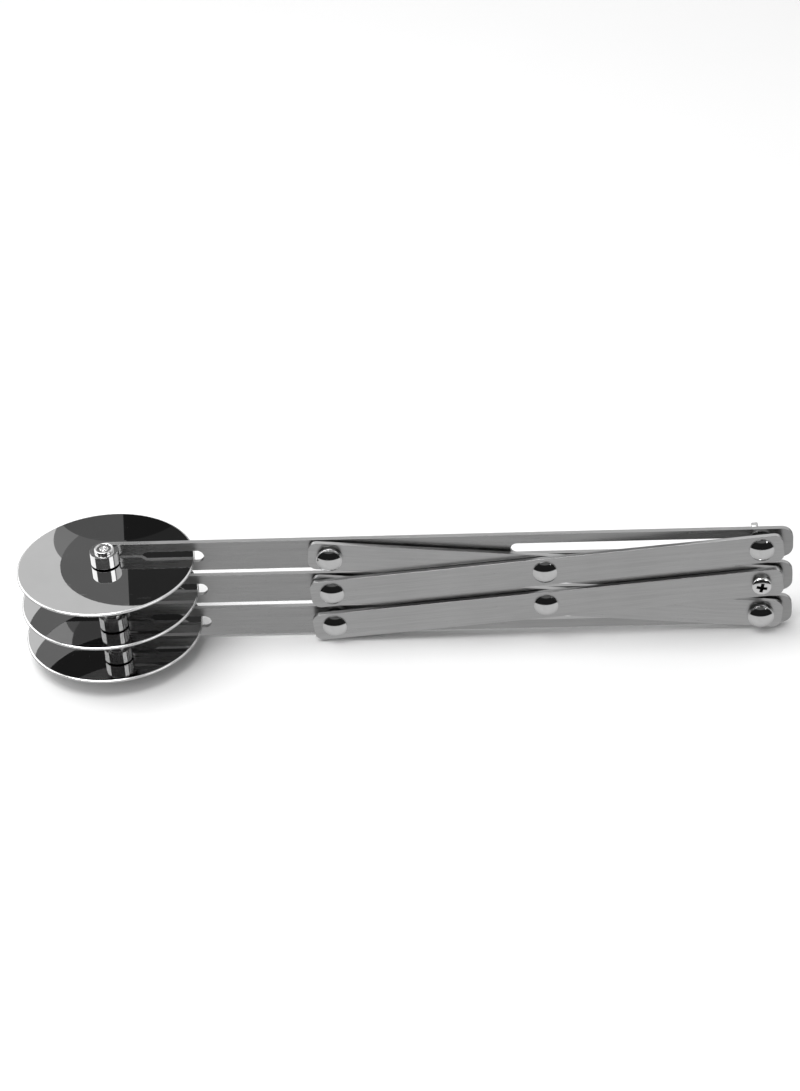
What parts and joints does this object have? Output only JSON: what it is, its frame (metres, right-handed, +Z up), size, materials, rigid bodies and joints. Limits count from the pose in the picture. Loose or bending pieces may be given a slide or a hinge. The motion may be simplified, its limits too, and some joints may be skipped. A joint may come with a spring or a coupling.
{
  "type": "expanding pastry cutter",
  "caption": "Expanding pastry cutter: plain cutting wheels on forked arms that a scissor linkage spreads and keeps parallel, locked by a screw and wing nut.",
  "frame": {"origin": "under the middle of the closed tool's box, at the height of the lowest axle pin's head", "axes": "+X runs from the wheels to the handle end, +Y from the links to the back of the arms, +Z up along the axles"},
  "size_m": [0.2338, 0.054, 0.0362],
  "materials": {
    "mirror_steel": "mirror-polished stainless steel",
    "satin_steel": "stainless bar, lightly brushed along its length",
    "link_steel": "stainless bar, lightly brushed along its length",
    "polished_steel": "polished stainless steel",
    "screw_steel": "bright plated steel"
  },
  "bodies": {
    "lower_arm": {"arm_lower": "satin_steel", "axle_pin_lower": "polished_steel", "pivot_rivet_lower": "polished_steel", "pivot_spacer_lower": "polished_steel"},
    "lower_wheel": {"wheel_lower": "mirror_steel"},
    "front_lower_link": {"link_front_lower": "link_steel", "cross_rivet_lower": "polished_steel", "lock_screw": "screw_steel", "lock_washer": "screw_steel"},
    "lock_nut": {"wing_nut": "screw_steel"},
    "back_lower_link": {"link_back_lower": "link_steel", "slide_rivet_lower": "polished_steel", "slide_spacer_lower": "polished_steel", "slide_washer_lower": "polished_steel"},
    "middle_arm": {"arm_middle": "satin_steel", "axle_pin_middle": "polished_steel", "pivot_rivet_middle": "polished_steel"},
    "middle_wheel": {"wheel_middle": "mirror_steel"},
    "front_upper_link": {"link_front_upper": "link_steel", "cross_rivet_upper": "polished_steel", "slide_rivet_upper": "polished_steel", "slide_spacer_upper": "polished_steel", "slide_washer_upper": "polished_steel"},
    "back_upper_link": {"link_back_upper": "link_steel"},
    "upper_arm": {"arm_upper": "satin_steel", "axle_pin_upper": "polished_steel", "pivot_rivet_upper": "polished_steel", "pivot_spacer_upper": "polished_steel"},
    "upper_wheel": {"wheel_upper": "mirror_steel"}
  },
  "joints": [
    {"name": "spread", "type": "hinge", "parent": "lower_arm", "child": "front_lower_link", "pos_m": [-0.022, 0, 0.0059], "axis": [0, -1, 0], "range_deg": [0, 58.8]},
    {"name": "lower_cross", "type": "hinge", "parent": "front_lower_link", "child": "back_lower_link", "pos_m": [0.0427, 0, 0.012], "axis": [0, -1, 0], "range_deg": [-117.6, 0]},
    {"name": "middle_arm_pivot", "type": "hinge", "parent": "back_lower_link", "child": "middle_arm", "pos_m": [-0.022, 0, 0.0181], "axis": [0, -1, 0], "range_deg": [0, 58.8]},
    {"name": "middle_link_pivot", "type": "hinge", "parent": "middle_arm", "child": "front_upper_link", "pos_m": [-0.022, 0, 0.0181], "axis": [0, -1, 0], "range_deg": [0, 58.8]},
    {"name": "upper_cross", "type": "hinge", "parent": "front_upper_link", "child": "back_upper_link", "pos_m": [0.0427, 0, 0.0242], "axis": [0, -1, 0], "range_deg": [-117.6, 0]},
    {"name": "upper_arm_pivot", "type": "hinge", "parent": "back_upper_link", "child": "upper_arm", "pos_m": [-0.022, 0, 0.0303], "axis": [0, -1, 0], "range_deg": [0, 58.8]},
    {"name": "lower_wheel_spin", "type": "hinge", "parent": "lower_arm", "child": "lower_wheel", "pos_m": [-0.0899, 0, 0.0059], "axis": [0, 0, 1], "continuous": true},
    {"name": "middle_wheel_spin", "type": "hinge", "parent": "middle_arm", "child": "middle_wheel", "pos_m": [-0.0899, 0, 0.0181], "axis": [0, 0, 1], "continuous": true},
    {"name": "upper_wheel_spin", "type": "hinge", "parent": "upper_arm", "child": "upper_wheel", "pos_m": [-0.0899, 0, 0.0303], "axis": [0, 0, 1], "continuous": true},
    {"name": "wing_nut_turn", "type": "hinge", "parent": "front_lower_link", "child": "lock_nut", "pos_m": [0.1074, 0, 0.0181], "axis": [0, 1, 0], "range_deg": [0, 180]}
  ],
  "couplings": [
    {"joint": "lower_cross", "follows": "spread", "ratio": -2},
    {"joint": "middle_arm_pivot", "follows": "spread", "ratio": 1},
    {"joint": "middle_link_pivot", "follows": "spread", "ratio": 1},
    {"joint": "upper_cross", "follows": "spread", "ratio": -2},
    {"joint": "upper_arm_pivot", "follows": "spread", "ratio": 1}
  ]
}
